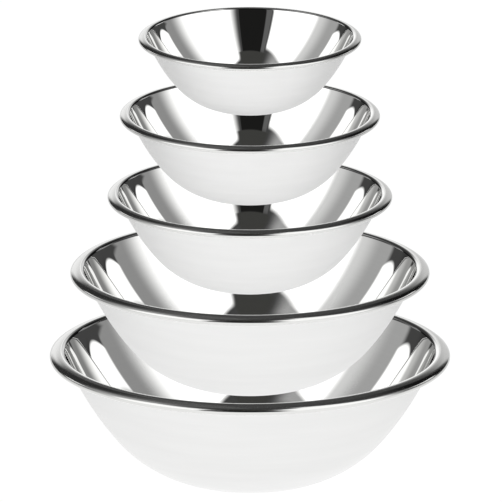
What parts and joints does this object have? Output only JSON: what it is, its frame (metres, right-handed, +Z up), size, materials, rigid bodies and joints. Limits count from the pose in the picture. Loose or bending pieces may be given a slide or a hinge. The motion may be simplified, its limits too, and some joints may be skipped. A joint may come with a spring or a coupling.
{
  "type": "nesting mixing bowl set",
  "caption": "Nesting set of round stainless-steel mixing bowls with wide arched rims, held one above the other from largest to smallest.",
  "frame": {"origin": "middle of the underside of the largest bowl's base, on the surface that the set stands on", "axes": "+Z up along the bowls' common axis; the bowls are round, so X and Y have no preferred direction"},
  "size_m": [0.3366, 0.3366, 0.3843],
  "materials": {
    "stainless_steel": "mirror-polished inside and on the rim, satin-brushed outside"
  },
  "bodies": {
    "largest_bowl": {"largest_bowl": "stainless_steel"},
    "large_bowl": {"large_bowl": "stainless_steel"},
    "medium_bowl": {"medium_bowl": "stainless_steel"},
    "small_bowl": {"small_bowl": "stainless_steel"},
    "smallest_bowl": {"smallest_bowl": "stainless_steel"}
  },
  "joints": [
    {"name": "large_bowl_lift", "type": "slide", "parent": "largest_bowl", "child": "large_bowl", "axis": [0, 0, 1], "range_m": [-0.078, 0.045]},
    {"name": "medium_bowl_lift", "type": "slide", "parent": "large_bowl", "child": "medium_bowl", "axis": [0, 0, 1], "range_m": [-0.0845, 0.045]},
    {"name": "small_bowl_lift", "type": "slide", "parent": "medium_bowl", "child": "small_bowl", "axis": [0, 0, 1], "range_m": [-0.069, 0.045]},
    {"name": "smallest_bowl_lift", "type": "slide", "parent": "small_bowl", "child": "smallest_bowl", "axis": [0, 0, 1], "range_m": [-0.0755, 0.045]}
  ]
}
